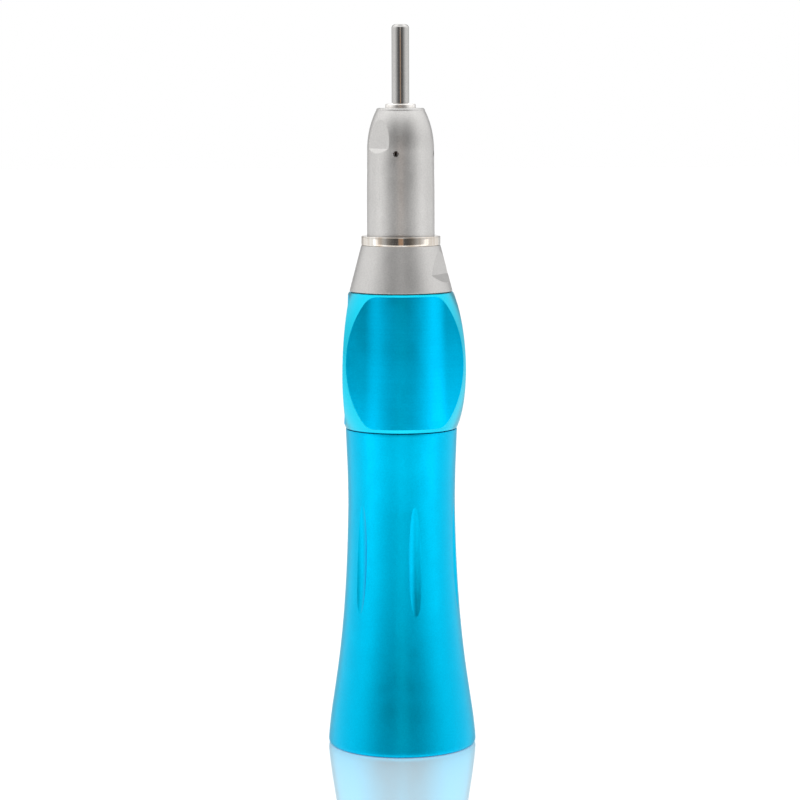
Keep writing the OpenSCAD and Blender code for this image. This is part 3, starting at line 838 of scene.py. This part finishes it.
# Node: how its piece is built, its finishes, and its slot in the record.
replaced = {
    "grip_sleeve": (grip_sleeve, ["anodised_sleeve"], "sleeve_blue"),
    "twist_ring": (twist_ring, ["anodised_ridge", "anodised_facet"], "ring_blue"),
    "taper_collar": (taper_collar, ["blasted_steel"], "blasted_steel"),
    "lock_ring": (lock_ring, ["polished_nickel"], "polished_nickel"),
    "nose_sheath": (nose_sheath, ["blasted_steel"], "blasted_steel"),
    "dummy_bur": (dummy_bur, ["shank_steel"], "shank_steel"),
    "chuck_spring": (lambda: spring("chuck_spring", 6, 0.3), ["spring_steel"], "spring_steel"),
    "dog_spring": (lambda: spring("dog_spring", 4, 0.2), ["spring_steel"], "spring_steel"),
}
squashed_by = {"chuck_spring": "collet_open", "dog_spring": "drive_dog_press"}
bodies = frame["record"]["behaviour"]["bodies"]
body_of = {node: body for body, nodes in bodies.items() for node in nodes}
slot_of = {row["node"]: row["material_slot"] for row in frame["record"]["subparts"]}

for node, (build, finishes, slot) in replaced.items():
    piece = build()
    for finish in finishes:
        piece.data.materials.append(finish_of(finish))
    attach(piece, body_of[node])
    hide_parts(node)
    if node in squashed_by:
        squash_spring(piece)

for node, obj in frame["nodes"].items():
    if node in replaced:
        continue
    material = finish_of(slot_of[node])
    if not obj.material_slots:
        obj.data.materials.append(material)
    for place in obj.material_slots:
        place.material = material

# ---- Floor, light and camera ----

# Directions are in half turns off the front, heights are the z of a unit vector, and levels are
# shares of full white.
FRONT_DIM = (0.09, 0.48)
BACK_START = (0.62, 0.85)
FLAG_OUTER = (0.74, 0.84)
FLAG_INNER = (0.92, 0.95)
WARM_STRIP = (0.028, 0.05)
WARMTH_FADE = (0.03, 0.15)
WALL_RISE = (0.05, 0.40)
CEILING = (0.38, 0.86)
ZENITH = (0.86, 0.98)
FRONT_LEVEL = 0.11
WARM_LEVEL = 0.5
SIDE_LEVEL = 0.95
SIDE_HIGH_LEVEL = 1.24
BACK_LEVEL = 0.90
BACK_HIGH_LEVEL = 1.12
FLAG_LEVEL = 0.42
TOP_LEVEL = 1.6
ZENITH_LEVEL = 0.7
BACKDROP_LEVEL = 1.0

WARM_COLOUR = (1, 0.68, 0.48, 1)

# The floor glows, by distance in front of the object. Its sizes are in metres.
FLOOR_HALF = 3
FLOOR_FRONT = 0.42
GLOW_EDGE = (0.04, 0.055)
FLOOR_GLOW = 0.15
FRONT_GLOW = 0.78

# The camera, in metres, degrees and millimetres.
CAMERA_AT = (-0.000061, -0.3567, 0.08795)
CAMERA_PITCH = -6.5
CAMERA_ROLL = 0.167
CAMERA_LENS = 118.8
CAMERA_SENSOR = 36.0


def floor():
    """A glossy white table, brightest in front of the object."""
    mesh = bpy.data.meshes.new("floor")
    half, front = FLOOR_HALF, -FLOOR_FRONT
    corners = [(-half, front, 0), (half, front, 0), (half, half, 0), (-half, half, 0)]
    mesh.from_pydata(corners, [], [(0, 1, 2, 3)])
    obj = new_object("floor", mesh)
    n = new_material("pale_floor")
    tint(n, ramp(n, noise(n, 3), 0, 1), grey(0.90), grey(0.93))
    n.shader.inputs["Metallic"].default_value = 0.5
    n.shader.inputs["Roughness"].default_value = 0.03
    n.shader.inputs["IOR"].default_value = 2.2
    n.shader.inputs["Emission Color"].default_value = (1, 1, 1, 1)
    split = n.add("ShaderNodeSeparateXYZ")
    n.link(position(n), split.inputs[0])
    ahead = n.math("MULTIPLY", split.outputs["Y"], -1)
    glow = n.blend(ahead, GLOW_EDGE, FLOOR_GLOW, FRONT_GLOW)
    n.link(glow, n.shader.inputs["Emission Strength"])
    obj.data.materials.append(n.material)


def studio():
    """A white tent: dim in front with a narrow warm strip, and a dark flag at each side of its back.

    The camera itself sees plain white.
    """
    world = bpy.data.worlds.new("studio")
    bpy.context.scene.world = world
    world.use_nodes = True
    n = Nodes(world.node_tree)
    background = n.tree.nodes["Background"]
    split = n.add("ShaderNodeSeparateXYZ")
    n.link(n.add("ShaderNodeTexCoord").outputs["Generated"], split.inputs[0])
    up = split.outputs["Z"]

    # Azimuth from the front, in half turns: 0 in front and 1 behind.
    around = n.math("ARCTAN2", split.outputs["X"], n.math("MULTIPLY", split.outputs["Y"], -1))
    off_front = n.math("MULTIPLY", n.math("ABSOLUTE", around), 1 / math.pi)

    side_wall = n.blend(up, WALL_RISE, SIDE_LEVEL, SIDE_HIGH_LEVEL)
    back_wall = n.blend(up, WALL_RISE, BACK_LEVEL, BACK_HIGH_LEVEL)
    sides = n.blend(off_front, FRONT_DIM, FRONT_LEVEL, side_wall)
    walls = n.blend(off_front, BACK_START, sides, back_wall)
    flag = n.blend(off_front, FLAG_INNER, n.blend(off_front, FLAG_OUTER, 0, 1), 0)
    flagged = n.blend(flag, (0, 1), walls, FLAG_LEVEL)
    strip = n.blend(off_front, WARM_STRIP, 1, 0)
    warmed = n.blend(strip, (0, 1), flagged, WARM_LEVEL)
    ceiling = n.blend(up, CEILING, warmed, TOP_LEVEL)
    seen = n.blend(up, ZENITH, ceiling, ZENITH_LEVEL)

    camera_ray = n.add("ShaderNodeLightPath").outputs["Is Camera Ray"]
    n.link(n.blend(camera_ray, (0, 1), seen, BACKDROP_LEVEL), background.inputs["Strength"])
    warmth = n.add("ShaderNodeMix", data_type="RGBA")
    warmth.inputs["A"].default_value = (1, 1, 1, 1)
    warmth.inputs["B"].default_value = WARM_COLOUR
    low_strip = n.blend(up, WARMTH_FADE, strip, 0)
    n.link(n.blend(camera_ray, (0, 1), low_strip, 0), warmth.inputs["Factor"])
    n.link(warmth.outputs["Result"], background.inputs["Color"])


def camera():
    data = bpy.data.cameras.new("camera")
    data.sensor_width = CAMERA_SENSOR
    data.lens = CAMERA_LENS
    data.clip_start = 0.01
    obj = bpy.data.objects.new("camera", data)
    bpy.context.scene.collection.objects.link(obj)
    obj.location = CAMERA_AT
    obj.rotation_euler = (math.radians(90 + CAMERA_PITCH), math.radians(CAMERA_ROLL), 0)
    bpy.context.scene.camera = obj


floor()
studio()
camera()
bpy.context.scene.view_settings.view_transform = "Standard"
